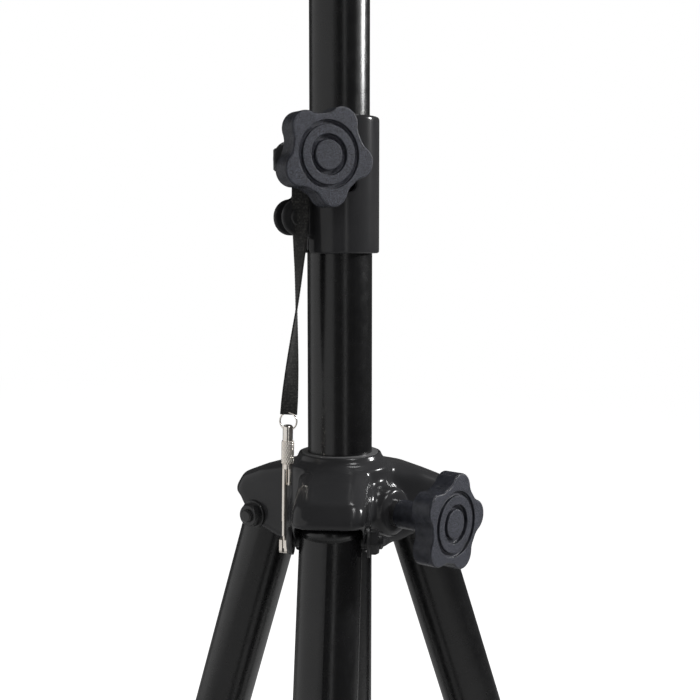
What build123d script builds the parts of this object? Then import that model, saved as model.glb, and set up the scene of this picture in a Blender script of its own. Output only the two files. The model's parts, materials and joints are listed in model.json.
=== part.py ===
"""Telescoping tripod stand: clamped inner pole, sliding leg hub, braced legs, tethered pin.

Millimetres, +Z up.  Heights are worked out from the floor and every node is shifted down
at the end, so that the origin is the centre of the pole's top face, on the mast axis.
Legs stand at -90, 30 and 150 degrees about the mast.
"""
import math
import os
from build123d import *

# ---------------------------------------------------------------- driving dimensions
SPLAY = 18.6                # leg angle from the mast in this pose, degrees
LINK = 355.0                # pivot spacing along a leg, and along a brace
PIVOT_R = 49.5              # radius of the hub pivots and of the lower hub pivots
LEG_AZIMUTHS = {"front": -90.0, "right": 30.0, "left": 150.0}

MAST_R, MAST_WALL = 19.0, 1.2
POLE_R, POLE_WALL = 17.5, 1.5
LEG_R, LEG_WALL = 17.5, 1.5
LEG_TOP = 5.5               # leg tube above its pivot, on its axis
LEG_MITRE = 24.6            # slope of the tube's top end, degrees
FOOT_CENTRE = 735.0         # dome centre of a foot, from the pivot along the leg
FOOT_R = 21.0

HUB_SHEET = 2.4
ARM_ROUND = 9.5             # bend radius between an arm's roof and its sides
CHANNEL_HALF = 18.3         # half the gap between a pair of hub ears
NECK_R = 24.5
NECK_TOP = 42.0             # above the pivots
SKIRT_R = 31.0
HUB_BOLT_R = 4.0            # M8: leg pivots, clamp stud and knob screw
BOSS_R = 14.5               # the hub knob's round boss
SKIRT_LOW = -13.5           # skirt's lower rim, from the pivots
SKIRT_HIGH = 33.0
NECK_LOW = 39.5             # where the hollow curve meets the neck

M6_R = 3.0                  # collar, brace and lower bolts
M6_NUT = (10, 5.0, 6.6)     # across flats, height, flange radius
BRACE_SHEET = 2.0
BRACE_BACK, BRACE_FRONT = -21.5, 9.0
BRACE_END_R = 11.0
LOWER_RING_WALL = 6.0

COLLAR_R, COLLAR_WALL = 23.0, 2.8
COLLAR_HEIGHT = 78.0
COLLAR_GAP = 116.0          # hub rim to collar in this pose
EAR_AZIMUTH = -144.0        # the split and its ears
EAR_RADIUS = 30.0           # ear hole centres from the mast axis
EAR_DROP = 2.0              # the ears' middle below the collar's middle
EAR_HOLE_OFFSET = 16.4      # ear holes above and below the ears' middle
EAR_LOBE_R = 10.4
SLOT_HALF = 3.5
EAR_SHEET = 2.8
COLLAR_PIN_AZIMUTH = -70.0
COLLAR_PIN_R = 4.3

KNOB_LOBE_R = 28.2          # out to the lobes' tips
KNOB_LOBE_ROUND = 9.2
KNOB_CORE_R = 22.0
KNOB_THICK = 12.5
KNOB_NECK_R = 8.2
KNOB_GROOVE = (18.4, 16.0)  # outer and inner radius of the groove in a knob's face
KNOB_RECESS_R, KNOB_CAP_R = 11.0, 8.3
CLAMP_KNOB_PHASE = 170.0    # where the knobs happened to stop
HUB_KNOB_PHASE = 3.0
HUB_KNOB_AZIMUTH = -34.0
HUB_KNOB_RISE = 10.3        # above the pivots
HUB_KNOB_FACE = 83.5        # from the mast axis
HUB_BOSS_FACE = 42.5
CLAMP_KNOB_FACE = 41.0      # from the ears' mid plane

POLE_LENGTH = 940.0
POLE_TOP_ABOVE_COLLAR = 325.0
POLE_HOLE_R = 4.2
POLE_HOLE_PITCH = 75.0
TOP_SEAT_LENGTH = 110.0     # bare pole end that a load's socket slides over
SEAT_RING_HEIGHT = 14.0
SEAT_GROOVE = 0.5           # the ring sits in a shallow groove

STRAP_WIDTH, STRAP_THICK = 10.0, 1.3
STRAP_PLANE = 8.6           # strap centre from the ears' mid plane
STRAP_LEAN = 3.4            # lean of the strap away from the mast, degrees
PIN_LEAN = 1.0              # lean of the pin that hangs from it
STRAP_LENGTH = 145.5        # stud centre to the strap's lower end
EYELET_R = 7.2
RING_R, RING_WIRE = 5.0, 0.65
RING_PLAY = 0.45
RING_TURN = -45.0           # the ring's plane from the strap's, about the vertical
SHAFT_LENGTH = 68.5         # ring's wire to the tip that carries the toggle
SHAFT_R, SHAFT_OFFSET = 1.5, 1.6
LATCH_OFFSET = -1.3
TOGGLE_PIN_R = 0.55
FIT = 0.05                  # radial running clearance
EPS = 0.3                   # clearance between faces of different bodies

# ---------------------------------------------------------------- worked-out places
SPLAY_RAD = math.radians(SPLAY)
PIVOT_Z = FOOT_CENTRE * math.cos(SPLAY_RAD) + FOOT_R
LOWER_Z = PIVOT_Z - 2 * LINK * math.cos(SPLAY_RAD)
RIM_Z = PIVOT_Z + NECK_TOP
COLLAR_Z = RIM_Z + COLLAR_GAP
COLLAR_MID_Z = COLLAR_Z + COLLAR_HEIGHT / 2
COLLAR_TOP_Z = COLLAR_Z + COLLAR_HEIGHT
MAST_BOTTOM_Z = LOWER_Z - 12
MAST_TOP_Z = COLLAR_Z + 40
POLE_TOP_Z = COLLAR_TOP_Z + POLE_TOP_ABOVE_COLLAR
CAP_HEIGHT = 3.0
ORIGIN_Z = POLE_TOP_Z + CAP_HEIGHT

nodes = {}


def solid_cylinder(radius, low, high):
    """A cylinder on Z between two heights."""
    return Pos(0, 0, (low + high) / 2) * Cylinder(radius, high - low)


def tube(outer, inner, low, high):
    """A tube on Z between two heights."""
    return solid_cylinder(outer, low, high) - solid_cylinder(inner, low - 1, high + 1)


def along_x(shape):
    """Turn a shape modelled along +Z so that it runs along +X."""
    return Rot(0, 90, 0) * shape


def along_y(shape):
    """Turn a shape modelled along +Z so that it runs along +Y."""
    return Rot(-90, 0, 0) * shape


def hex_prism(across_flats, low, high):
    """A hexagonal prism on Z between two heights."""
    flat = RegularPolygon(across_flats / math.sqrt(3), 6)
    return Pos(0, 0, low) * extrude(flat, high - low)


def group(shapes):
    """Separate solids that share one node."""
    solids = []
    for shape in shapes:
        solids.extend(shape.solids())
    return Compound(children=solids)


def at_leg(name, shape):
    """Place a leg-frame shape: pivot at its origin, leg running down -Z, +X outwards."""
    placed = Pos(PIVOT_R, 0, PIVOT_Z) * Rot(0, -SPLAY, 0)
    return Rot(0, 0, LEG_AZIMUTHS[name]) * placed * shape


def at_brace(name, shape):
    """Place a brace-frame shape: lower pivot at its origin, brace running up +Z."""
    placed = Pos(PIVOT_R, 0, LOWER_Z) * Rot(0, SPLAY, 0)
    return Rot(0, 0, LEG_AZIMUTHS[name]) * placed * shape


def at_arm(name, shape):
    """Place an arm shape modelled about the pivot height, +X outwards from the mast."""
    return Rot(0, 0, LEG_AZIMUTHS[name]) * Pos(0, 0, PIVOT_Z) * shape


def bolt(shank_r, half_inner, half_outer, tail):
    """A dome-headed bolt along +Y; its head sits at -half_outer, its end at +tail."""
    head = solid_cylinder(8.2, -half_outer - 3.4, -half_outer)
    head = fillet(head.edges().group_by(Axis.Z)[0], 2.8)
    shank = solid_cylinder(shank_r, -half_outer, tail)
    shank = chamfer(shank.edges().group_by(Axis.Z)[-1], 0.8)
    return along_y(head + shank)


def flange_nut(bore_r, start, across_flats=12.6, height=6.2, flange_r=8.6):
    """A flanged hex nut along +Y, its flange on the plane y = start."""
    flange = Pos(0, 0, start + 0.8) * Cylinder(flange_r, 1.6)
    flange = fillet(flange.edges().group_by(Axis.Z)[-1], 0.6)
    body = hex_prism(across_flats, start + 1.0, start + height)
    cone = Pos(0, 0, start + height - 2.5) * Cone(across_flats / 2 + 3.0, across_flats / 2 - 0.2, 5)
    body = body & (cone + solid_cylinder(across_flats, start, start + 2.6))
    return along_y(flange + body - solid_cylinder(bore_r, start - 1, start + height + 1))


# ---------------------------------------------------------------- mast and pole
def make_mast():
    """Outer tube, its bottom plug and the lower hub that carries the braces."""
    mast = tube(MAST_R, MAST_R - MAST_WALL, MAST_BOTTOM_Z, MAST_TOP_Z)
    collar_pin = Rot(0, 0, COLLAR_PIN_AZIMUTH) * Pos(0, 0, COLLAR_MID_Z) * along_x(Cylinder(COLLAR_PIN_R, 80))
    nodes["outer_mast"] = mast - collar_pin

    plug = solid_cylinder(MAST_R - MAST_WALL, MAST_BOTTOM_Z, MAST_BOTTOM_Z + 24)
    plug += solid_cylinder(MAST_R + 2.5, MAST_BOTTOM_Z - 4, MAST_BOTTOM_Z)
    plug -= solid_cylinder(MAST_R - MAST_WALL - 3, MAST_BOTTOM_Z + 2, MAST_BOTTOM_Z + 30)
    plug = fillet(plug.edges().group_by(Axis.Z)[0], 1.5)
    nodes["mast_bottom_plug"] = plug


def make_pole():
    """Inner pole with cross holes for the safety pin, cap, seat ring and tail bush."""
    bottom = POLE_TOP_Z - POLE_LENGTH
    pole = tube(POLE_R, POLE_R - POLE_WALL, bottom, POLE_TOP_Z)
    first_hole = COLLAR_MID_Z + POLE_HOLE_PITCH * 0.5
    turn = Rot(0, 0, COLLAR_PIN_AZIMUTH)
    for step in (-5, -4, -3, -2, -1):
        height = first_hole + step * POLE_HOLE_PITCH
        pole -= turn * Pos(0, 0, height) * along_x(Cylinder(POLE_HOLE_R, 60))
    seat_low = POLE_TOP_Z - TOP_SEAT_LENGTH - SEAT_RING_HEIGHT
    pole -= tube(POLE_R + 1, POLE_R - SEAT_GROOVE, seat_low, seat_low + SEAT_RING_HEIGHT)
    nodes["inner_pole"] = pole

    inside = POLE_R - POLE_WALL
    cap = solid_cylinder(POLE_R - 0.6, POLE_TOP_Z, POLE_TOP_Z + CAP_HEIGHT)
    cap = fillet(cap.edges().group_by(Axis.Z)[-1], 2.0)
    cap += tube(inside, inside - 2.5, POLE_TOP_Z - 18, POLE_TOP_Z)
    nodes["pole_top_cap"] = cap

    ring = tube(POLE_R + 6, POLE_R - SEAT_GROOVE, seat_low, seat_low + SEAT_RING_HEIGHT)
    ring = fillet(ring.edges().filter_by(GeomType.CIRCLE).sort_by(SortBy.RADIUS)[-2:], 1.5)
    screw_place = Rot(0, 0, 60) * Pos(0, 0, seat_low + SEAT_RING_HEIGHT / 2)
    ring -= screw_place * along_x(solid_cylinder(2.5, POLE_R - 1, POLE_R + 8))
    nodes["seat_ring"] = ring
    screw = solid_cylinder(2.5, POLE_R, POLE_R + 4.6)
    screw -= hex_prism(2.5, POLE_R + 2.4, POLE_R + 6)
    nodes["seat_ring_screw"] = screw_place * along_x(screw)

    bush = solid_cylinder(MAST_R - MAST_WALL - FIT, bottom - 4, bottom)
    bush += solid_cylinder(inside, bottom, bottom + 22)
    bush -= solid_cylinder(inside - 3, bottom - 5, bottom + 23)
    nodes["pole_tail_bush"] = bush


# ---------------------------------------------------------------- collar clamp
def ear_place():
    """Frame on the ears: +X outwards from the mast, +Y towards the knob, at their mid height."""
    return Rot(0, 0, EAR_AZIMUTH) * Pos(0, 0, COLLAR_MID_Z - EAR_DROP)


def make_collar():
    """Split sleeve with two pairs of ear lobes, its nylon liner and its fixed bolt."""
    inner = COLLAR_R - COLLAR_WALL
    low, high = EAR_DROP - COLLAR_HEIGHT / 2, EAR_DROP + COLLAR_HEIGHT / 2
    sleeve = tube(COLLAR_R, inner, low, high)
    sleeve = fillet(sleeve.edges().group_by(Axis.Z)[-1].sort_by(SortBy.RADIUS)[-1:], 1.4)
    sleeve = fillet(sleeve.edges().group_by(Axis.Z)[0].sort_by(SortBy.RADIUS)[-1:], 1.0)
    thick = SLOT_HALF + EAR_SHEET
    ears = Pos(inner + 4, 0, 0) * Box(8, 2 * thick, 2 * (EAR_HOLE_OFFSET + EAR_LOBE_R))
    for side in (-1, 1):
        lobe = along_y(Cylinder(EAR_LOBE_R, 2 * thick))
        bridge = Pos(-6, 0, 0) * Box(12, 2 * thick, 2 * EAR_LOBE_R)
        ears += Pos(EAR_RADIUS, 0, side * EAR_HOLE_OFFSET) * (lobe + bridge)
    ears = ears - solid_cylinder(inner, low - 1, high + 1)
    collar = sleeve + ears
    collar -= Pos(30, 0, 0) * Box(60, 2 * SLOT_HALF, COLLAR_HEIGHT + 20)
    for side, radius in ((-1, M6_R + FIT), (1, HUB_BOLT_R + FIT)):
        collar -= Pos(EAR_RADIUS, 0, side * EAR_HOLE_OFFSET) * along_y(Cylinder(radius, 60))
    pin = Rot(0, 0, COLLAR_PIN_AZIMUTH - EAR_AZIMUTH) * Pos(0, 0, EAR_DROP) * along_x(Cylinder(COLLAR_PIN_R, 80))
    nodes["clamp_collar"] = ear_place() * (collar - pin)

    step = MAST_TOP_Z - COLLAR_MID_Z + EAR_DROP
    liner = tube(inner, POLE_R + FIT, step, high - 0.6)
    liner += tube(inner, MAST_R, low + 2, step)
    liner -= Pos(30, 0, 0) * Box(60, 3.0, COLLAR_HEIGHT + 20)
    nodes["collar_liner"] = ear_place() * (liner - pin)

    place = ear_place() * Pos(EAR_RADIUS, 0, -EAR_HOLE_OFFSET)
    low_bolt = solid_cylinder(M6_R, -thick - 6.2, thick)
    head = solid_cylinder(5.4, thick, thick + 1.3)
    head = fillet(head.edges().group_by(Axis.Z)[-1], 1.0)
    nodes["collar_bolt"] = place * along_y(low_bolt + head)
    nut = flange_nut(M6_R, thick, *M6_NUT)
    nodes["collar_bolt_nut"] = place * Rot(0, 0, 180) * nut


def knob_outline():
    """Five rounded lobes around a core, with soft valleys between them."""
    outline = Circle(KNOB_CORE_R)
    for step in range(5):
        outline += Rot(0, 0, 72 * step) * Pos(KNOB_LOBE_R - KNOB_LOBE_ROUND, 0) * Circle(KNOB_LOBE_ROUND)
    return fillet(outline.vertices(), 9.0)


def knob_parts(face, seat, stud_r, stud_end, phase):
    """Knob body, centre cap and stud along +Z; face, seat and stud_end are heights."""
    back = face - KNOB_THICK
    body = Pos(0, 0, back) * Rot(0, 0, phase) * extrude(knob_outline(), KNOB_THICK)
    body = fillet(body.edges().group_by(Axis.Z)[-1], 1.1)
    body = fillet(body.edges().group_by(Axis.Z)[0], 0.8)
    body += solid_cylinder(KNOB_NECK_R, seat, back)
    body -= tube(*KNOB_GROOVE, face - 1.6, face + 1)
    body -= solid_cylinder(KNOB_RECESS_R, face - 2.2, face + 1)
    body -= solid_cylinder(stud_r, seat - 1, back + 7.5)
    cap = solid_cylinder(KNOB_CAP_R, face - 2.2, face - 0.2)
    cap = fillet(cap.edges().group_by(Axis.Z)[-1], 0.6)
    stud = solid_cylinder(stud_r, stud_end, back + 7.5)
    stud = chamfer(stud.edges().group_by(Axis.Z)[0], 0.7)
    return body, cap, stud


def make_clamp_knob():
    """The knob on the upper pair of ear lobes, with its washer, stud and square nut."""
    place = ear_place() * Pos(EAR_RADIUS, 0, EAR_HOLE_OFFSET)
    outer = SLOT_HALF + EAR_SHEET
    washer_low = STRAP_PLANE + STRAP_THICK / 2 + EPS
    seat = washer_low + 1.6 + FIT
    # +Z of the knob shapes is turned onto +Y of the ear frame, away from the ears
    body, cap, stud = knob_parts(CLAMP_KNOB_FACE, seat, HUB_BOLT_R, -outer - 9, CLAMP_KNOB_PHASE)
    nodes["clamp_knob"] = place * along_y(body)
    nodes["clamp_knob_cap"] = place * along_y(cap)
    nodes["clamp_knob_stud"] = place * along_y(stud)
    washer = tube(8.0, HUB_BOLT_R + FIT, washer_low, washer_low + 1.6)
    nodes["clamp_washer"] = place * along_y(washer)
    nut = Pos(0, 0, -outer - 3.25) * Box(13, 13, 6.5)
    nut = chamfer(nut.edges().filter_by(Axis.Z), 1.0)
    nut -= Cylinder(HUB_BOLT_R + FIT, 60)
    nodes["clamp_nut"] = place * along_y(nut)


# ---------------------------------------------------------------- sliding leg hub
def arm_profile():
    """Side outline of one arm, radius against height about the pivot."""
    points = [(0, 35.8), (27, 35.0), (45, 30.8), (63, 23.6), (70.0, 13.0), (54.5, -9.0), (44, -12.5), (0, -14.0)]
    face = make_face(Polyline(*points, close=True))
    top_corners = [v for v in face.vertices() if v.X > 55 and v.Y > 10]
    face = fillet(top_corners, 5.5)
    shoulders = [v for v in face.vertices() if 20 < v.X < 50 and v.Y > 20]
    face = fillet(shoulders, 20.0)
    low_corner = [v for v in face.vertices() if 50 < v.X and -12 < v.Y < 0]
    return fillet(low_corner, 7.0)


def arm_block(face, half_width):
    """One arm's block from its side outline, centred on the arm's own plane."""
    return Rot(90, 0, 0) * extrude(face, half_width, both=True)


def neck_outline():
    """Half section of the body: straight skirt, rounded shoulder, hollow curve up to the neck."""
    shoulder_in = (SKIRT_R - 3.0, SKIRT_HIGH + 3.0)
    foot = Line((0, SKIRT_LOW), (SKIRT_R, SKIRT_LOW))
    side = Line((SKIRT_R, SKIRT_LOW), (SKIRT_R, SKIRT_HIGH))
    shoulder = RadiusArc((SKIRT_R, SKIRT_HIGH), shoulder_in, -3.0)
    hollow = RadiusArc(shoulder_in, (NECK_R, NECK_LOW), 3.5)
    top = Line((NECK_R, NECK_LOW), (0, NECK_LOW))
    return [foot, side, shoulder, hollow, top, Line((0, NECK_LOW), (0, SKIRT_LOW))]


def roof_edges(arm, half_width):
    """The long edges between an arm's roof and its two sides."""
    on_sides = [e for e in arm.edges() if abs(abs(e.center().Y) - half_width) < 0.01]
    return [e for e in on_sides if min(v.Z for v in e.vertices()) > 8]


def make_hub():
    """Pressed three-arm hub: neck, channels for the legs, skirt and knob boss."""
    outer_half = CHANNEL_HALF + HUB_SHEET
    profile = arm_profile()
    inner_profile = offset(profile, -HUB_SHEET, kind=Kind.INTERSECTION)
    outer_arm = arm_block(profile, outer_half)
    outer_arm = fillet(roof_edges(outer_arm, outer_half), ARM_ROUND)
    inner_arm = arm_block(inner_profile, CHANNEL_HALF)
    inner_arm = fillet(roof_edges(inner_arm, CHANNEL_HALF), ARM_ROUND - HUB_SHEET)
    inner_arm += Pos(29.5, 0, -22) * Box(59, 2 * CHANNEL_HALF, 40)
    mouth = Pos(58, 0, -12) * Box(20, 2 * CHANNEL_HALF, 44)

    flare = Rot(90, 0, 0) * make_face(Wire(neck_outline()))
    shell = revolve(flare, Axis.Z) + solid_cylinder(NECK_R, -8, NECK_TOP)
    for name in LEG_AZIMUTHS:
        turn = Rot(0, 0, LEG_AZIMUTHS[name])
        shell += turn * outer_arm
    boss = solid_cylinder(BOSS_R, 20, HUB_BOSS_FACE)
    boss = fillet(boss.edges().group_by(Axis.Z)[-1], 3.0)
    knob_turn = Rot(0, 0, HUB_KNOB_AZIMUTH) * Pos(0, 0, HUB_KNOB_RISE) * Rot(0, 90, 0)
    shell += knob_turn * boss

    hollow = solid_cylinder(SKIRT_R - HUB_SHEET, -20, 28.0)
    for name in LEG_AZIMUTHS:
        turn = Rot(0, 0, LEG_AZIMUTHS[name])
        hollow += turn * (inner_arm + mouth)
    shell -= hollow
    shell -= solid_cylinder(NECK_R - 1.8, -20, NECK_TOP + 1)
    shell -= knob_turn * solid_cylinder(BOSS_R - HUB_SHEET, 18, HUB_BOSS_FACE - HUB_SHEET)
    shell -= knob_turn * solid_cylinder(HUB_BOLT_R + 1.0, 15, 60)
    bolt_bore = Pos(PIVOT_R, 0, 0) * along_y(Cylinder(HUB_BOLT_R, 60))
    for name in LEG_AZIMUTHS:
        shell -= Rot(0, 0, LEG_AZIMUTHS[name]) * bolt_bore
    nodes["leg_hub"] = Pos(0, 0, PIVOT_Z) * shell

    bush = tube(NECK_R - 1.8, MAST_R + FIT, 16, NECK_TOP - 0.8)
    nodes["hub_bush"] = Pos(0, 0, PIVOT_Z) * bush

    bolts = []
    nuts = []
    for name in LEG_AZIMUTHS:
        place = Pos(PIVOT_R, 0, 0)
        bolts.append(at_arm(name, place * bolt(HUB_BOLT_R, CHANNEL_HALF, outer_half, outer_half + 8.4)))
        nuts.append(at_arm(name, place * flange_nut(HUB_BOLT_R, outer_half)))
    nodes["leg_pivot_bolts"] = group(bolts)
    nodes["leg_pivot_nuts"] = group(nuts)

    seat = HUB_BOSS_FACE + 3.2
    body, cap, stud = knob_parts(HUB_KNOB_FACE, seat, HUB_BOLT_R, MAST_R + 4.4, HUB_KNOB_PHASE)
    place = Rot(0, 0, HUB_KNOB_AZIMUTH) * Pos(0, 0, PIVOT_Z + HUB_KNOB_RISE) * Rot(0, 90, 0) * Rot(0, 0, 90)
    nodes["hub_knob"] = place * body
    nodes["hub_knob_cap"] = place * cap
    nodes["hub_knob_screw"] = place * stud
    washer = tube(7.6, HUB_BOLT_R + FIT, HUB_BOSS_FACE, HUB_BOSS_FACE + 3.0)
    nodes["hub_knob_ring"] = place * washer
    nut = hex_prism(13, HUB_BOSS_FACE - 10.5, HUB_BOSS_FACE - HUB_SHEET - 1.1)
    nut -= solid_cylinder(HUB_BOLT_R + FIT, 0, 60)
    nodes["hub_weld_nut"] = place * nut
    shoe = Pos(MAST_R + 2.3, 0, 0) * Box(3.6, 14, 14) - Cylinder(MAST_R + FIT, 40)
    nodes["brake_shoe"] = Rot(0, 0, HUB_KNOB_AZIMUTH) * Pos(0, 0, PIVOT_Z + HUB_KNOB_RISE - 3) * shoe


# ---------------------------------------------------------------- legs and braces
def make_leg(name):
    """Leg tube with its end plug, rubber foot and brace bolt."""
    above = Pos(0, 0, LEG_TOP) * Rot(0, LEG_MITRE, 0) * Pos(0, 0, 40) * Box(120, 120, 80)
    leg = tube(LEG_R, LEG_R - LEG_WALL, -FOOT_CENTRE + 14, LEG_TOP + 20) - above
    leg -= along_y(Cylinder(HUB_BOLT_R + FIT, 60))
    leg -= Pos(0, 0, -LINK) * along_y(Cylinder(M6_R, 60))
    nodes[f"leg_{name}"] = at_leg(name, leg)

    inside = LEG_R - LEG_WALL
    plug = solid_cylinder(inside, LEG_TOP - 28, LEG_TOP + 20) - above
    plug -= solid_cylinder(inside - 3, LEG_TOP - 30, LEG_TOP - 18)
    plug -= along_y(Cylinder(HUB_BOLT_R + FIT, 60))
    nodes[f"leg_{name}_plug"] = at_leg(name, plug)

    foot = solid_cylinder(FOOT_R, -FOOT_CENTRE, -FOOT_CENTRE + 62)
    foot = chamfer(foot.edges().group_by(Axis.Z)[-1], 1.5)
    foot += Pos(0, 0, -FOOT_CENTRE) * Sphere(FOOT_R)
    foot -= solid_cylinder(LEG_R, -FOOT_CENTRE + 14, 0)
    nodes[f"leg_{name}_foot"] = at_leg(name, foot)


def make_brace(name):
    """Channel brace that straddles its leg, and the bolt and nut through both."""
    inner_width = 2 * CHANNEL_HALF
    outer_width = inner_width + 2 * BRACE_SHEET
    brace = Box(BRACE_FRONT - BRACE_BACK, outer_width, LINK)
    brace = Pos((BRACE_BACK + BRACE_FRONT) / 2, 0, LINK / 2) * brace
    for height in (0, LINK):
        brace += Pos(0, 0, height) * along_y(Cylinder(BRACE_END_R, outer_width))
    brace -= Pos(20 + BRACE_BACK + BRACE_SHEET, 0, LINK / 2) * Box(40, inner_width, LINK + 40)
    web_clear = 30.0
    for height in (-20 + web_clear / 2, LINK + 20 - web_clear / 2):
        brace -= Pos(0, 0, height) * Box(80, inner_width, 40 + web_clear)
    for height in (0, LINK):
        brace -= Pos(-16, 0, height) * Box(10, 80, 50)
        brace -= Pos(0, 0, height) * along_y(Cylinder(M6_R + FIT, 60))
    nodes[f"brace_{name}"] = at_brace(name, brace)

    outer = outer_width / 2 + EPS
    pin = solid_cylinder(M6_R, -outer, outer + 5.6)
    pin += solid_cylinder(6.0, -outer - 3, -outer)
    pin = Pos(0, 0, -LINK) * along_y(pin)
    nut = Pos(0, 0, -LINK) * flange_nut(M6_R, outer, *M6_NUT)
    nodes[f"brace_{name}_bolt"] = at_leg(name, pin)
    nodes[f"brace_{name}_nut"] = at_leg(name, nut)


def make_lower_hub():
    """Clamped ring at the mast's foot with three lugs for the braces."""
    half = CHANNEL_HALF - 0.5
    ring_r = MAST_R + LOWER_RING_WALL
    ring = solid_cylinder(ring_r, -12, 26)
    ring = fillet(ring.edges().group_by(Axis.Z)[-1], 3.0)
    bolts = []
    nuts = []
    outer = CHANNEL_HALF + BRACE_SHEET + EPS
    for name in LEG_AZIMUTHS:
        turn = Rot(0, 0, LEG_AZIMUTHS[name])
        lug = Pos(PIVOT_R / 2, 0, 0) * Box(PIVOT_R, 2 * half, 18)
        lug += Pos(PIVOT_R, 0, 0) * along_y(Cylinder(9, 2 * half))
        lug -= Pos(PIVOT_R + 2, 0, 0) * Box(36, 2 * (half - 5), 40)
        lug -= Pos(PIVOT_R, 0, 0) * along_y(Cylinder(M6_R, 80))
        ring += turn * lug
        pin = solid_cylinder(M6_R, -outer, outer + 5.6) + solid_cylinder(6.0, -outer - 3, -outer)
        place = turn * Pos(PIVOT_R, 0, LOWER_Z)
        bolts.append(place * along_y(pin))
        nuts.append(place * flange_nut(M6_R, outer, *M6_NUT))
    ring -= solid_cylinder(MAST_R, -20, 40)
    nodes["lower_hub"] = Pos(0, 0, LOWER_Z) * ring
    nodes["lower_pivot_bolts"] = group(bolts)
    nodes["lower_pivot_nuts"] = group(nuts)
    screws = []
    for azimuth in LEG_AZIMUTHS.values():
        place = Rot(0, 0, azimuth + 60) * Pos(0, 0, LOWER_Z + 12)
        screw = solid_cylinder(4.2, ring_r, ring_r + 2.4)
        screw = fillet(screw.edges().group_by(Axis.Z)[-1], 1.4)
        screws.append(place * along_x(screw))
    nodes["lower_hub_rivets"] = group(screws)


# ---------------------------------------------------------------- lanyard and safety pin
def strap_place():
    """Frame hanging from the clamp stud: -Z down the strap, +X outwards, +Y to the knob."""
    at_stud = Pos(EAR_RADIUS, STRAP_PLANE, EAR_HOLE_OFFSET)
    return ear_place() * at_stud * Rot(0, -STRAP_LEAN, 0)


def make_lanyard():
    """Flat strap with a stud hole, split ring and the spring pin that hangs from it."""
    strap = Pos(0, 0, -STRAP_LENGTH / 2) * Box(STRAP_WIDTH, STRAP_THICK, STRAP_LENGTH)
    strap += along_y(Cylinder(EYELET_R, STRAP_THICK))
    strap -= along_y(Cylinder(HUB_BOLT_R + EPS, 10))
    ring_centre = -STRAP_LENGTH + 2.2 - RING_R
    turn = Rot(0, 0, RING_TURN)
    at_ring = Pos(0, 0, ring_centre) * turn * Rot(90, 0, 0)
    strap -= at_ring * Torus(RING_R, RING_WIRE + RING_PLAY)
    nodes["lanyard_strap"] = strap_place() * strap
    nodes["split_ring"] = strap_place() * at_ring * Torus(RING_R, RING_WIRE)

    hang = Pos(0, 0, ring_centre - RING_R)
    place = strap_place() * hang * Rot(0, STRAP_LEAN - PIN_LEAN, 0) * turn
    grip = solid_cylinder(2.9, -6.2, 3.0)
    grip = fillet(grip.edges().group_by(Axis.Z)[-1], 1.6)
    grip += solid_cylinder(3.3, -19.4, -6.2) + solid_cylinder(2.7, -22.2, -19.4)
    grip -= Pos(0, 0, RING_R) * Rot(90, 0, 0) * Torus(RING_R, RING_WIRE + RING_PLAY)
    grip -= Pos(SHAFT_OFFSET, 0, 0) * solid_cylinder(SHAFT_R, -26, -12)
    grip -= Pos(LATCH_OFFSET, 0, 0) * solid_cylinder(1.0, -26, -16)
    nodes["pin_grip"] = place * grip

    tip = -SHAFT_LENGTH
    shaft = solid_cylinder(SHAFT_R, tip + 16, -12.0) + solid_cylinder(SHAFT_R - 0.2, tip + 7, tip + 16)
    shaft += Pos(0, 0, tip + 4) * Box(0.9, 2.0, 8)
    shaft -= Pos(0, 0, tip + 1.5) * along_x(Cylinder(TOGGLE_PIN_R, 10))
    at_shaft = place * Pos(SHAFT_OFFSET, 0, 0)
    nodes["pin_shaft"] = at_shaft * shaft
    latch = solid_cylinder(1.0, -30.2, -16.0) + solid_cylinder(1.25, -31.6, -30.2)
    nodes["pin_latch"] = place * Pos(LATCH_OFFSET, 0, 0) * latch

    toggle = Box(4.6, 4.0, 9.0)
    toggle = fillet(toggle.edges().filter_by(Axis.X), 1.8)
    toggle -= Pos(0, 0, 1.0) * Box(1.3, 10, 9.0)
    toggle -= along_x(Cylinder(TOGGLE_PIN_R + FIT, 10))
    at_toggle = at_shaft * Pos(0, 0, tip + 1.5)
    nodes["pin_toggle"] = at_toggle * toggle
    nodes["toggle_rivet"] = at_toggle * along_x(Cylinder(TOGGLE_PIN_R, 4.6))


def main():
    """Build every node, shift it to the origin and write it."""
    make_mast()
    make_pole()
    make_collar()
    make_clamp_knob()
    make_hub()
    for name in LEG_AZIMUTHS:
        make_leg(name)
        make_brace(name)
    make_lower_hub()
    make_lanyard()
    os.makedirs("parts", exist_ok=True)
    for name, shape in nodes.items():
        export_step(Pos(0, 0, -ORIGIN_Z) * shape, f"parts/{name}.step")


main()
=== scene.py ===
"""Looks for the telescoping tripod stand: materials, soft strap, safety pin details, studio."""
import json
import math
import bpy
from mathutils import Matrix, Vector


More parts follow.
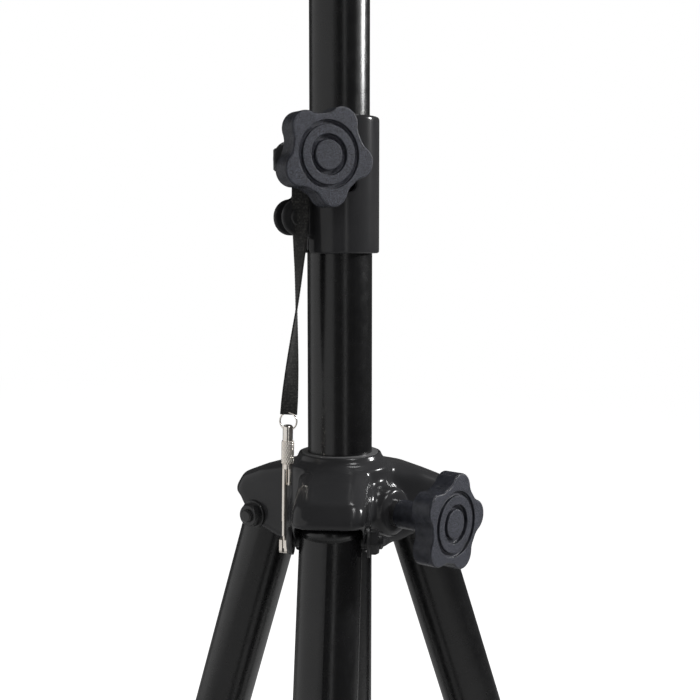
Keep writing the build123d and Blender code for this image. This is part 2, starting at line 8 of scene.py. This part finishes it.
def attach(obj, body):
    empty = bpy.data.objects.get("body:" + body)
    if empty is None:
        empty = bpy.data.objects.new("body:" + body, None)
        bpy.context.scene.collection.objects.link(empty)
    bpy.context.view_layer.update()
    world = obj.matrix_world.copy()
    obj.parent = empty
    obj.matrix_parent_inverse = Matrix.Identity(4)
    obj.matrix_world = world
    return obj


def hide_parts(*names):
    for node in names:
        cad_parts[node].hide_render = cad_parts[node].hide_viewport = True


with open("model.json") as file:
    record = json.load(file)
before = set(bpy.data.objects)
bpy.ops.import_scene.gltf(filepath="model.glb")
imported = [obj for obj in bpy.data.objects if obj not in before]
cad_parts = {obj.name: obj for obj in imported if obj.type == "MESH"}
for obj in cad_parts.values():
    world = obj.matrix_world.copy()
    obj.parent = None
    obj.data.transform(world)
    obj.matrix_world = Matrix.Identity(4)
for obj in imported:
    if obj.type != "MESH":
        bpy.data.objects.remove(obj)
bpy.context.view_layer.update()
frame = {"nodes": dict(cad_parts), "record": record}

MM = 0.001

# ---------------------------------------------------------------- places from part.py, in metres
TOP_ABOVE_FLOOR = 1.28161
SPLAY = math.radians(18.6)
PIVOT_Z = (735.0 * math.cos(SPLAY) + 21.0) * MM - TOP_ABOVE_FLOOR
PIVOT_R = 49.5 * MM
RIM_Z = PIVOT_Z + 42 * MM
COLLAR_MID_Z = RIM_Z + 155 * MM
LEG_AZIMUTHS = {"front": -90.0, "right": 30.0, "left": 150.0}
LEG_R = 17.5 * MM
LEG_TOP = 5.5 * MM
LEG_MITRE = math.radians(24.6)
HUB_KNOB_AZIMUTH = math.radians(-34.0)
EAR_AZIMUTH = math.radians(-144.0)
EAR_RADIUS = 30 * MM
EAR_DROP = 2 * MM
EAR_HOLE_OFFSET = 16.4 * MM
STRAP_PLANE = 8.6 * MM
STRAP_WIDTH = 10 * MM
STRAP_THICK = 1.3 * MM
STRAP_LENGTH = 145.5 * MM
STRAP_LEAN = math.radians(3.4)
PIN_LEAN = math.radians(1.0)
RING_R = 5.0 * MM
RING_WIRE = 0.65 * MM
RING_TURN = math.radians(-45.0)
RING_SEAT = 2.2 * MM            # ring's top above the strap's lower end
KNURL_LOW, KNURL_HIGH = -19.4 * MM, -6.2 * MM


# ---------------------------------------------------------------- camera, floor and lights
SENSOR_WIDTH = 36.0
IMAGE_PIXELS = 700.0
CAMERA_DISTANCE = 0.6606
CAMERA_ABOVE_RIM = 0.1258
CAMERA_TURN = math.radians(5.98)
CAMERA_YAW = math.radians(0.52)
CAMERA_PITCH = math.radians(5.75)
FOCAL_PIXELS = 1128.0
ROOM_LIGHT = 0.055              # what the stand sees between the lamps
PAPER_LIGHT = 1.0               # what the camera sees behind the stand
FLOOR_GLOW = 0.95               # towards the camera only
FLOOR_HALF = 6.0

# name, azimuth in degrees, distance, height above the hub's rim, width, height of the lamp, watts
LIGHTS = [
    ("key_softbox", 16, 1.6, 0.60, 0.30, 0.30, 20),
    ("left_panel", 203, 1.6, 0.1, 4.2, 2.2, 17),
    ("front_strip", 295, 2.0, 0.1, 0.26, 2.0, 1.7),
    ("high_softbox", -38, 0.9, 1.15, 0.34, 0.34, 5),
    ("top_softbox", 60, 0.5, 1.5, 0.5, 0.4, 5),
]


def add_camera():
    """The camera, a little above the hub and turned slightly to its right."""
    data = bpy.data.cameras.new("camera")
    data.sensor_width = SENSOR_WIDTH
    data.lens = FOCAL_PIXELS * SENSOR_WIDTH / IMAGE_PIXELS
    data.clip_start = 0.01
    data.clip_end = 50
    camera = bpy.data.objects.new("camera", data)
    bpy.context.scene.collection.objects.link(camera)
    turn = Matrix.Rotation(CAMERA_TURN, 4, "Z")
    place = Matrix.Translation((0, -CAMERA_DISTANCE, RIM_Z + CAMERA_ABOVE_RIM))
    aim = Matrix.Rotation(-CAMERA_YAW, 4, "Z") @ Matrix.Rotation(math.pi / 2 - CAMERA_PITCH, 4, "X")
    camera.matrix_world = turn @ place @ aim
    bpy.context.scene.camera = camera


def add_light(name, azimuth, distance, height, size, size_y, power):
    """An area light at an azimuth seen from the mast, turned to face the hub."""
    data = bpy.data.lights.new(name, "AREA")
    data.shape = "RECTANGLE"
    data.size = size
    data.size_y = size_y
    data.energy = power
    lamp = bpy.data.objects.new(name, data)
    angle = math.radians(azimuth)
    target = Vector((0, 0, RIM_Z))
    lamp.location = target + Vector((distance * math.cos(angle), distance * math.sin(angle), height))
    lamp.rotation_euler = (target - lamp.location).to_track_quat("-Z", "Y").to_euler()
    bpy.context.scene.collection.objects.link(lamp)


def add_world():
    """A white backdrop for the camera, and a soft grey room for everything else."""
    world = bpy.data.worlds.new("studio")
    bpy.context.scene.world = world
    world.use_nodes = True
    nodes, links = world.node_tree.nodes, world.node_tree.links
    nodes.clear()
    output = nodes.new("ShaderNodeOutputWorld")
    mix = nodes.new("ShaderNodeMixShader")
    rays = nodes.new("ShaderNodeLightPath")
    room = nodes.new("ShaderNodeBackground")
    room.inputs["Color"].default_value = (1, 1, 1, 1)
    room.inputs["Strength"].default_value = ROOM_LIGHT
    paper = nodes.new("ShaderNodeBackground")
    paper.inputs["Color"].default_value = (1, 1, 1, 1)
    paper.inputs["Strength"].default_value = PAPER_LIGHT
    links.new(rays.outputs["Is Camera Ray"], mix.inputs["Fac"])
    links.new(room.outputs[0], mix.inputs[1])
    links.new(paper.outputs[0], mix.inputs[2])
    links.new(mix.outputs[0], output.inputs["Surface"])


def add_floor():
    """A pale paper floor: lit like a light table towards the camera, dim towards the stand."""
    mesh = bpy.data.meshes.new("floor")
    z = -TOP_ABOVE_FLOOR
    signs = ((-1, -1), (1, -1), (1, 1), (-1, 1))
    corners = [(x * FLOOR_HALF, y * FLOOR_HALF, z) for x, y in signs]
    mesh.from_pydata(corners, [], [(0, 1, 2, 3)])
    floor = bpy.data.objects.new("floor", mesh)
    bpy.context.scene.collection.objects.link(floor)
    material = bpy.data.materials.new("floor_paper")
    material.use_nodes = True
    nodes, links = material.node_tree.nodes, material.node_tree.links
    shader = nodes["Principled BSDF"]
    shader.inputs["Base Color"].default_value = (0.8, 0.8, 0.8, 1)
    shader.inputs["Roughness"].default_value = 0.9
    glow = nodes.new("ShaderNodeEmission")
    glow.inputs["Strength"].default_value = FLOOR_GLOW
    both = nodes.new("ShaderNodeAddShader")
    rays = nodes.new("ShaderNodeLightPath")
    mix = nodes.new("ShaderNodeMixShader")
    links.new(shader.outputs[0], both.inputs[0])
    links.new(glow.outputs[0], both.inputs[1])
    links.new(rays.outputs["Is Camera Ray"], mix.inputs["Fac"])
    links.new(shader.outputs[0], mix.inputs[1])
    links.new(both.outputs[0], mix.inputs[2])
    links.new(mix.outputs[0], nodes["Material Output"].inputs["Surface"])
    mesh.materials.append(material)


# ---------------------------------------------------------------- materials
class Maker:
    """Small helper that builds one procedural material from noise layers."""

    def __init__(self, name):
        self.material = bpy.data.materials.new(name)
        self.material.use_nodes = True
        self.nodes = self.material.node_tree.nodes
        self.links = self.material.node_tree.links
        self.shader = self.nodes["Principled BSDF"]
        self.coords = self.nodes.new("ShaderNodeTexCoord")

    def set(self, socket, value):
        self.shader.inputs[socket].default_value = value

    def noise(self, scale, detail=3.0, rough=0.5):
        tex = self.nodes.new("ShaderNodeTexNoise")
        tex.inputs["Scale"].default_value = scale
        tex.inputs["Detail"].default_value = detail
        tex.inputs["Roughness"].default_value = rough
        self.links.new(self.coords.outputs["Object"], tex.inputs["Vector"])
        return tex.outputs["Fac"]

    def ramp(self, source, low, high, value_low, value_high):
        node = self.nodes.new("ShaderNodeMapRange")
        node.inputs["From Min"].default_value = low
        node.inputs["From Max"].default_value = high
        node.inputs["To Min"].default_value = value_low
        node.inputs["To Max"].default_value = value_high
        self.links.new(source, node.inputs["Value"])
        return node.outputs["Result"]

    def colour(self, source, low, high, dark, light):
        node = self.nodes.new("ShaderNodeValToRGB")
        node.color_ramp.elements[0].position = low
        node.color_ramp.elements[0].color = (*dark, 1)
        node.color_ramp.elements[1].position = high
        node.color_ramp.elements[1].color = (*light, 1)
        self.links.new(source, node.inputs["Fac"])
        self.links.new(node.outputs["Color"], self.shader.inputs["Base Color"])

    def maths(self, operation, first, second):
        node = self.nodes.new("ShaderNodeMath")
        node.operation = operation
        for socket, value in zip(node.inputs, (first, second)):
            if isinstance(value, (int, float)):
                socket.default_value = value
            else:
                self.links.new(value, socket)
        return node.outputs["Value"]

    def blend(self, mask, without, with_mask):
        """One value where the mask is 0 and another where it is 1."""
        difference = self.maths("SUBTRACT", with_mask, without)
        return self.maths("ADD", without, self.maths("MULTIPLY", mask, difference))

    def facing(self, axis):
        """1 where the surface faces along an axis of the part's own frame, 0 elsewhere."""
        dot = self.nodes.new("ShaderNodeVectorMath")
        dot.operation = "DOT_PRODUCT"
        self.links.new(self.coords.outputs["Normal"], dot.inputs[0])
        dot.inputs[1].default_value = axis
        return self.ramp(dot.outputs["Value"], 0.80, 0.97, 0.0, 1.0)

    def bump(self, *layers):
        """Chain (height source, strength, distance in metres) layers into the normal."""
        previous = None
        for source, strength, distance in layers:
            node = self.nodes.new("ShaderNodeBump")
            node.inputs["Strength"].default_value = strength
            node.inputs["Distance"].default_value = distance
            self.links.new(source, node.inputs["Height"])
            if previous:
                self.links.new(previous, node.inputs["Normal"])
            previous = node.outputs["Normal"]
        self.links.new(previous, self.shader.inputs["Normal"])

    def roughness(self, source, low, high):
        self.links.new(self.ramp(source, 0.3, 0.7, low, high), self.shader.inputs["Roughness"])


def satin_coat(name, dark, light, rough_low, rough_high, peel=0.25):
    """Powder-coated steel tube: fine orange peel, slight cloudiness and rare dust specks."""
    maker = Maker(name)
    peel_noise = maker.noise(1300.0, 2.0)
    cloud = maker.noise(45.0, 4.0)
    maker.colour(cloud, 0.35, 0.7, dark, light)
    maker.roughness(maker.noise(160.0, 3.0), rough_low, rough_high)
    maker.bump((peel_noise, peel, 0.00012), (maker.noise(60.0, 2.0), 0.05, 0.0006))
    maker.set("Specular IOR Level", 0.55)
    return maker.material


def gloss_coat():
    """Thick smooth black coat on the pressings, with a soft flow in its surface."""
    maker = Maker("gloss_black_coat")
    maker.colour(maker.noise(30.0, 3.0), 0.3, 0.75, (0.036, 0.036, 0.038), (0.045, 0.045, 0.047))
    maker.roughness(maker.noise(120.0, 3.0), 0.16, 0.20)
    maker.bump((maker.noise(520.0, 2.0), 0.01, 0.00015), (maker.noise(45.0, 1.0), 0.03, 0.0008))
    maker.set("Specular IOR Level", 0.22)
    maker.set("Coat Weight", 0.12)
    maker.set("Coat Roughness", 0.12)
    return maker.material


def knob_plastic(name, azimuth):
    """Spark-eroded charcoal plastic: coarse mottled grain on the face, smoother side walls."""
    maker = Maker(name)
    axis = (math.cos(azimuth), math.sin(azimuth), 0)
    facing = maker.facing(axis)
    grain = maker.noise(1500.0, 4.0, rough=0.72)
    flecks = maker.ramp(maker.noise(3100.0, 2.0), 0.35, 0.65, 0.55, 1.45)
    mottled = maker.maths("MULTIPLY", grain, flecks)
    plain = maker.ramp(maker.noise(240.0, 3.0), 0.3, 0.7, 0.36, 0.46)
    shade = maker.blend(facing, plain, mottled)
    maker.colour(shade, 0.28, 0.80, (0.004, 0.0045, 0.006), (0.125, 0.131, 0.165))
    smooth_walls = maker.ramp(grain, 0.3, 0.7, 0.16, 0.24)
    rough_face = maker.ramp(grain, 0.3, 0.7, 0.42, 0.62)
    roughness = maker.blend(facing, smooth_walls, rough_face)
    maker.links.new(roughness, maker.shader.inputs["Roughness"])
    maker.bump((mottled, 0.5, 0.0002), (maker.noise(260.0, 2.0), 0.12, 0.0003))
    maker.set("Specular IOR Level", 0.38)
    return maker.material


def moulded(name, dark, light, rough, grain_scale=900.0, grain=0.3):
    """Plain moulded plastic or rubber with a fine grain."""
    maker = Maker(name)
    maker.colour(maker.noise(70.0, 4.0), 0.3, 0.7, dark, light)
    maker.roughness(maker.noise(300.0, 2.0), rough - 0.06, rough + 0.08)
    maker.bump((maker.noise(grain_scale, 2.0), grain, 0.00015))
    return maker.material


def bare_metal(name, colour, dull, rough_low, rough_high):
    """Plated metal with fine tool marks and a little uneven dulling."""
    maker = Maker(name)
    maker.set("Metallic", 1.0)
    maker.colour(maker.noise(140.0, 4.0), 0.35, 0.7, dull, colour)
    maker.roughness(maker.noise(420.0, 3.0), rough_low, rough_high)
    maker.bump((maker.noise(900.0, 2.0), 0.18, 0.00006))
    return maker.material


def webbing():
    """Woven nylon tape: each yarn's tone, with painted shade in the weave's hollows and painted highlight on
    its crowns, comes from the weave stored on the mesh.
    """
    maker = Maker("black_webbing")
    shade = maker.nodes.new("ShaderNodeAttribute")
    shade.attribute_name = "weave"
    grain = maker.noise(2600.0, 3.0, rough=0.7)
    mixed = maker.nodes.new("ShaderNodeMath")
    mixed.operation = "MULTIPLY"
    maker.links.new(shade.outputs["Fac"], mixed.inputs[0])
    maker.links.new(maker.ramp(grain, 0.3, 0.7, 0.25, 1.5), mixed.inputs[1])
    maker.colour(mixed.outputs["Value"], 0.15, 1.0, (0.003, 0.003, 0.003), (0.05, 0.048, 0.044))
    maker.set("Roughness", 0.78)
    maker.set("Sheen Weight", 0.3)
    maker.set("Sheen Roughness", 0.4)
    maker.bump((grain, 0.5, 0.0002))
    return maker.material


BLACK_TUBE = ((0.006, 0.006, 0.0065), (0.010, 0.010, 0.0105))
BLACK_BRACKET = ((0.014, 0.014, 0.015), (0.024, 0.024, 0.025))
BLACK_OXIDE = ((0.020, 0.020, 0.021), (0.045, 0.045, 0.046))
BLACK_PLASTIC = ((0.012, 0.012, 0.012), (0.022, 0.022, 0.022))
GREY_NYLON = ((0.13, 0.13, 0.132), (0.18, 0.18, 0.182))
RUBBER = ((0.012, 0.012, 0.012), (0.026, 0.025, 0.024))
BRIGHT_ZINC = ((0.62, 0.62, 0.60), (0.42, 0.42, 0.40))
WARM_NICKEL = ((1.0, 0.95, 0.88), (0.93, 0.86, 0.78))

MATERIALS = {
    "satin_black_tube": satin_coat("satin_black_tube_coat", *BLACK_TUBE, 0.22, 0.29),
    "gloss_black_pressing": gloss_coat(),
    "satin_black_bracket": satin_coat("satin_black_bracket_coat", *BLACK_BRACKET, 0.34, 0.46),
    "charcoal_knob_plastic": knob_plastic("charcoal_knob_plastic_hub", HUB_KNOB_AZIMUTH),
    "black_plug_plastic": moulded("black_plug_plastic_m", *BLACK_PLASTIC, 0.5),
    "grey_nylon": moulded("grey_nylon_m", *GREY_NYLON, 0.45, 1400.0, 0.15),
    "black_rubber": moulded("black_rubber_m", *RUBBER, 0.72, 700.0, 0.5),
    "black_fastener": satin_coat("black_fastener_coat", *BLACK_OXIDE, 0.26, 0.42, 0.4),
    "zinc_steel": bare_metal("zinc_steel_m", *BRIGHT_ZINC, 0.22, 0.38),
    "black_webbing": webbing(),
    "nickel_pin": bare_metal("nickel_pin_m", *WARM_NICKEL, 0.14, 0.24),
}


def paint(obj, slot):
    """Give an object the finish of one of the record's material slots."""
    obj.data.materials.clear()
    obj.data.materials.append(MATERIALS[slot])


def paint_cad_nodes():
    """Every CAD node's finish; the clamp knob's grain faces another way than the hub knob's."""
    for part in frame["record"]["subparts"]:
        paint(frame["nodes"][part["node"]], part["material_slot"])
    clamp_grain = knob_plastic("charcoal_knob_plastic_clamp", EAR_AZIMUTH + math.pi / 2)
    frame["nodes"]["clamp_knob"].data.materials[0] = clamp_grain


# ---------------------------------------------------------------- mesh helpers
def new_object(name, vertices, faces, smooth=True):
    """A mesh object in the part's frame from vertices and faces."""
    mesh = bpy.data.meshes.new(name)
    mesh.from_pydata([tuple(v) for v in vertices], [], faces)
    mesh.update()
    for polygon in mesh.polygons:
        polygon.use_smooth = smooth
    obj = bpy.data.objects.new(name, mesh)
    bpy.context.scene.collection.objects.link(obj)
    return obj


def finish_piece(obj, slot, body, *nodes):
    """Material, slot, body and the CAD nodes that the piece stands for."""
    paint(obj, slot)
    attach(obj, body)
    if nodes:
        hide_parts(*nodes)


def baked(obj):
    """Apply an object's modifiers to its mesh."""
    depsgraph = bpy.context.evaluated_depsgraph_get()
    mesh = bpy.data.meshes.new_from_object(obj.evaluated_get(depsgraph))
    obj.modifiers.clear()
    obj.data = mesh
    return obj


def pressed_skin(node, name, voxel, corner, passes):
    """A CAD node's shape with hollow corners filled to a radius and sharp edges melted by the coat."""
    source = frame["nodes"][node]
    copy = bpy.data.objects.new(name, source.data.copy())
    bpy.context.scene.collection.objects.link(copy)

    def remesh():
        step = copy.modifiers.new("remesh", "REMESH")
        step.mode = "VOXEL"
        step.voxel_size = voxel
        step.use_smooth_shade = True

    def grow(distance):
        step = copy.modifiers.new("grow", "DISPLACE")
        step.mid_level = 0
        step.strength = distance

    def smooth(count):
        step = copy.modifiers.new("smooth", "SMOOTH")
        step.factor = 0.5
        step.iterations = count

    remesh()
    smooth(2)
    grow(corner)
    remesh()
    smooth(1)
    grow(-corner)
    remesh()
    smooth(passes)
    return baked(copy)


def softened(node, name, voxel, passes):
    """A CAD node's shape with its sharp edges eased, so that they catch the light."""
    copy = bpy.data.objects.new(name, frame["nodes"][node].data.copy())
    bpy.context.scene.collection.objects.link(copy)
    step = copy.modifiers.new("remesh", "REMESH")
    step.mode = "VOXEL"
    step.voxel_size = voxel
    step.use_smooth_shade = True
    step = copy.modifiers.new("smooth", "SMOOTH")
    step.factor = 0.5
    step.iterations = passes
    return baked(copy)


def end_wedge(name):
    """Squared-off end of a leg tube: the hoof between its mitre plane and its top."""
    azimuth = math.radians(LEG_AZIMUTHS[name])
    at_pivot = Matrix.Translation((PIVOT_R, 0, PIVOT_Z)) @ Matrix.Rotation(-SPLAY, 4, "Y")
    place = Matrix.Rotation(azimuth, 4, "Z") @ at_pivot
    count = 48
    low, high = [], []
    for step in range(count + 1):
        angle = math.pi * (step / count - 0.5)
        x, y = LEG_R * math.cos(angle), LEG_R * math.sin(angle)
        low.append(place @ Vector((x, y, LEG_TOP - x * math.tan(LEG_MITRE))))
        high.append(place @ Vector((x, y, LEG_TOP)))
    row = count + 1
    # the two rows meet at both ends of the half circle, so its ends are triangles
    sides = [(i, i + 1, i + 1 + row, i + row) for i in range(1, count - 1)]
    ends = [(0, 1, 1 + row), (count, count - 1 + row, count - 1)]
    top = [0] + list(range(1 + row, count + row)) + [count]
    bottom = list(reversed(range(row)))
    wedge = new_object(f"leg_{name}_end", low + high, sides + ends + [top, bottom], smooth=False)
    for polygon in wedge.data.polygons:
        polygon.use_smooth = len(polygon.vertices) == 4
    finish_piece(wedge, "satin_black_tube", f"leg_{name}")


def lathe(name, profile, segments, place, relief):
    """Turn (radius, height) points about Z; relief(angle, height) adds to the radius."""
    vertices = []
    faces = []
    for radius, height in profile:
        for step in range(segments):
            angle = 2 * math.pi * step / segments
            r = radius + relief(angle, height)
            vertices.append(place @ Vector((r * math.cos(angle), r * math.sin(angle), height)))
    for row in range(len(profile) - 1):
        for step in range(segments):
            a = row * segments + step
            b = row * segments + (step + 1) % segments
            faces.append((a, b, b + segments, a + segments))
    return new_object(name, vertices, faces)


# ---------------------------------------------------------------- lanyard
def strap_frame():
    """Hanging frame of the lanyard at the clamp stud: -Z down the strap, +X away from the mast."""
    ears = Matrix.Rotation(EAR_AZIMUTH, 4, "Z")
    at_stud = Matrix.Translation((EAR_RADIUS, STRAP_PLANE, EAR_HOLE_OFFSET))
    lean = Matrix.Rotation(-STRAP_LEAN, 4, "Y")
    return Matrix.Translation((0, 0, COLLAR_MID_Z - EAR_DROP)) @ ears @ at_stud @ lean


# (down from the stud, towards the mast) along the strap's middle line
STRAP_ROUTE = [(0, 0), (15, 0.6), (32, 1.5), (52, 2.1), (76, 2.1),
               (97, 1.4), (118, 0.8), (134, 0.3), (144.5, 0)]


def strap_route():
    """The strap's middle line from the stud to its lower end, in the part's frame."""
    place = strap_frame()
    return [place @ Vector((-aside * MM, 0, -down * MM)) for down, aside in STRAP_ROUTE]


def smooth_path(points, name):
    """Points along the NURBS line that has these control points."""
    curve = bpy.data.curves.new(name, "CURVE")
    curve.dimensions = "3D"
    spline = curve.splines.new("NURBS")
    spline.points.add(len(points) - 1)
    for point, place in zip(spline.points, points):
        point.co = (*place, 1)
    spline.order_u = 3
    spline.use_endpoint_u = True
    spline.resolution_u = 24
    holder = bpy.data.objects.new(name, curve)
    bpy.context.scene.collection.objects.link(holder)
    depsgraph = bpy.context.evaluated_depsgraph_get()
    mesh = bpy.data.meshes.new_from_object(holder.evaluated_get(depsgraph))
    path = [v.co.copy() for v in mesh.vertices]
    bpy.data.objects.remove(holder)
    return path


def walk(path, step):
    """Evenly spaced places and directions along a line of points."""
    lengths = [0.0]
    for a, b in zip(path, path[1:]):
        lengths.append(lengths[-1] + (b - a).length)
    count = int(lengths[-1] / step)
    spots = []
    index = 0
    for number in range(count + 1):
        target = lengths[-1] * number / count
        while index < len(path) - 2 and lengths[index + 1] < target:
            index += 1
        span = lengths[index + 1] - lengths[index]
        mix = (target - lengths[index]) / span if span else 0
        along = (path[index + 1] - path[index]).normalized()
        spots.append((path[index].lerp(path[index + 1], mix), along, target))
    return spots


# (fraction of the way down, turn of the strap's width about its length in degrees)
STRAP_TWIST = [(0.0, 0), (0.05, 4), (0.14, 28), (0.28, 60), (0.42, 90),
               (0.60, 120), (0.72, 144), (0.80, 160), (0.95, 190), (1.0, 194)]


def twist_at(fraction):
    """The strap's turn about its own length, a fraction of the way down."""
    for (low, a), (high, b) in zip(STRAP_TWIST, STRAP_TWIST[1:]):
        if fraction <= high:
            mix = (fraction - low) / (high - low)
            return math.radians(a + (b - a) * mix)
    return math.radians(STRAP_TWIST[-1][1])


WEAVE_COLUMNS = 48              # mesh columns across one face
WEAVE_ROW = 0.22 * MM           # mesh rows down the strap
YARN = STRAP_WIDTH / 12         # width of one yarn
PICK = 0.85 * MM                # length of one crossing
WEAVE_SINK = 0.10 * MM
WEAVE_LIFT = 0.07 * MM          # height of a crossing
YARN_RIB = 0.05 * MM            # roundness of a yarn


def random_shade(column, row, side):
    """A fixed pseudo-random value for one yarn crossing, mostly dark with some pale flecks."""
    mixed = (column * 73856093) ^ (row * 19349663) ^ ((side + 2) * 83492791)
    value = ((mixed * 2654435761) & 0xFFFFFFFF) / 0xFFFFFFFF
    return value ** 2.2


def weave(x, distance, side):
    """Height of the tape's face above its middle, and its colour across and down the strap: a random tone per
    yarn crossing, with painted shade where the weave sinks and painted highlight where it rises.
    """
    position = (x + STRAP_WIDTH / 2) / YARN
    column = math.floor(position)
    edge = min(1.0, (0.5 - abs(x) / STRAP_WIDTH) * 16)
    lift = math.sin(math.pi * position) * math.sin(math.pi * distance / PICK + math.pi * column)
    rib = abs(math.sin(math.pi * position))
    thick = STRAP_THICK / 2 * (0.35 + 0.65 * math.sqrt(max(edge, 0.0)))
    height = thick - WEAVE_SINK + WEAVE_LIFT * lift * edge + YARN_RIB * rib
    speck = random_shade(column, int(distance / PICK), side)
    # painted relief shading: raised crossings and yarn crowns lightened, sunken crossings and the grooves
    # between yarns darkened
    shade = 0.12 + 0.95 * speck * (0.75 + 0.25 * lift) + 0.10 * rib
    return height, shade


def make_strap():
    """Woven tape with a real weave relief, twisted as it hangs."""
    path = smooth_path(strap_route(), "strap_path")
    spots = walk(path, WEAVE_ROW)
    width_axis = strap_frame().to_3x3() @ Vector((1, 0, 0))
    vertices = []
    yarn_tones_and_painted_relief_shade = []
    total = spots[-1][2]
    for place, along, distance in spots:
        sideways = (width_axis - along * width_axis.dot(along)).normalized()
        sideways = Matrix.Rotation(twist_at(distance / total), 3, along) @ sideways
        out = along.cross(sideways)
        for side in (1, -1):
            for step in range(WEAVE_COLUMNS + 1):
                u = (step / WEAVE_COLUMNS - 0.5) * side
                x = u * STRAP_WIDTH
                height, shade = weave(x, distance, side)
                vertices.append(place + sideways * x + out * (height * side))
                yarn_tones_and_painted_relief_shade.append(shade)
    ring = 2 * (WEAVE_COLUMNS + 1)
    faces = []
    for row in range(len(spots) - 1):
        for step in range(ring):
            a = row * ring + step
            b = row * ring + (step + 1) % ring
            faces.append((a, b, b + ring, a + ring))
    last = (len(spots) - 1) * ring
    faces.append(tuple(reversed(range(ring))))
    faces.append(tuple(range(last, last + ring)))
    strap = new_object("woven_strap", vertices, faces)
    # the stored colour holds each yarn's random tone plus the painted relief shade and highlight
    layer = strap.data.attributes.new("weave", "FLOAT", "POINT")
    layer.data.foreach_set("value", yarn_tones_and_painted_relief_shade)
    return strap, path


def make_ring():
    """Split ring: two turns of round wire lying side by side."""
    ring_z = -STRAP_LENGTH + RING_SEAT - RING_R
    place = strap_frame() @ Matrix.Translation((0, 0, ring_z)) @ Matrix.Rotation(RING_TURN, 4, "Z")
    curve = bpy.data.curves.new("key_ring", "CURVE")
    curve.dimensions = "3D"
    curve.bevel_depth = RING_WIRE * 0.62
    curve.bevel_resolution = 5
    curve.use_fill_caps = True
    spline = curve.splines.new("POLY")
    turns = 1.9
    count = 110
    spline.points.add(count)
    for number in range(count + 1):
        angle = 2 * math.pi * turns * number / count + 0.6
        side = (number / count - 0.5) * RING_WIRE * 1.3
        point = place @ Vector((RING_R * math.sin(angle), side, RING_R * math.cos(angle)))
        spline.points[number].co = (*point, 1)
    ring = bpy.data.objects.new("key_ring", curve)
    bpy.context.scene.collection.objects.link(ring)
    return ring


def make_knurl():
    """Diamond-knurled sleeve on the pin's grip."""
    hang = -STRAP_LENGTH + RING_SEAT - 2 * RING_R
    upright = Matrix.Rotation(STRAP_LEAN - PIN_LEAN, 4, "Y")
    place = strap_frame() @ Matrix.Translation((0, 0, hang)) @ upright @ Matrix.Rotation(RING_TURN, 4, "Z")
    starts = 16
    pitch = 1.25 * MM
    run_out = 0.6 * MM
    depth = 0.34 * MM
    base, core = 3.34 * MM, 2.8 * MM

    def relief(angle, height):
        inside = min(1.0, max(0.0, (height - KNURL_LOW) / run_out), max(0.0, (KNURL_HIGH - height) / run_out))
        a = abs(math.sin(starts * angle / 2 + math.pi * height / pitch / 2))
        b = abs(math.sin(starts * angle / 2 - math.pi * height / pitch / 2))
        return inside * depth * min(a, b)

    rows = 90
    length = KNURL_HIGH - KNURL_LOW
    profile = [(core, KNURL_LOW)]
    profile += [(base, KNURL_LOW + length * row / rows) for row in range(rows + 1)]
    profile += [(core, KNURL_HIGH)]
    return lathe("pin_knurled_sleeve", profile, 160, place, relief)


def make_lanyard():
    """The strap and its ring on the lanyard's body, and the pin's knurled sleeve on the safety pin's."""
    strap, path = make_strap()
    finish_piece(strap, "black_webbing", "lanyard", "lanyard_strap")
    ring = make_ring()
    ring.data.materials.append(MATERIALS["nickel_pin"])
    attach(ring, "lanyard")
    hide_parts("split_ring")
    sleeve = make_knurl()
    finish_piece(sleeve, "nickel_pin", "safety_pin")


# ---------------------------------------------------------------- pressings, knobs and leg ends
def make_skins():
    """Eased skins over the hub, the collar and the two knobs."""
    hub = pressed_skin("leg_hub", "hub_pressing", 0.65 * MM, 3.6 * MM, 50)
    finish_piece(hub, "gloss_black_pressing", "hub", "leg_hub")
    collar = pressed_skin("clamp_collar", "collar_sleeve", 0.6 * MM, 2.2 * MM, 2)
    finish_piece(collar, "gloss_black_pressing", "mast", "clamp_collar")
    for node in ("clamp_knob", "hub_knob"):
        knob = softened(node, f"{node}_moulding", 0.26 * MM, 1)
        grain = frame["nodes"][node].data.materials[0]
        finish_piece(knob, "charcoal_knob_plastic", node, node)
        knob.data.materials[0] = grain


# ---------------------------------------------------------------- build
bpy.context.scene.view_settings.view_transform = "Standard"
add_camera()
add_world()
add_floor()
for light in LIGHTS:
    add_light(*light)
make_lanyard()
paint_cad_nodes()
make_skins()
for leg in LEG_AZIMUTHS:
    end_wedge(leg)
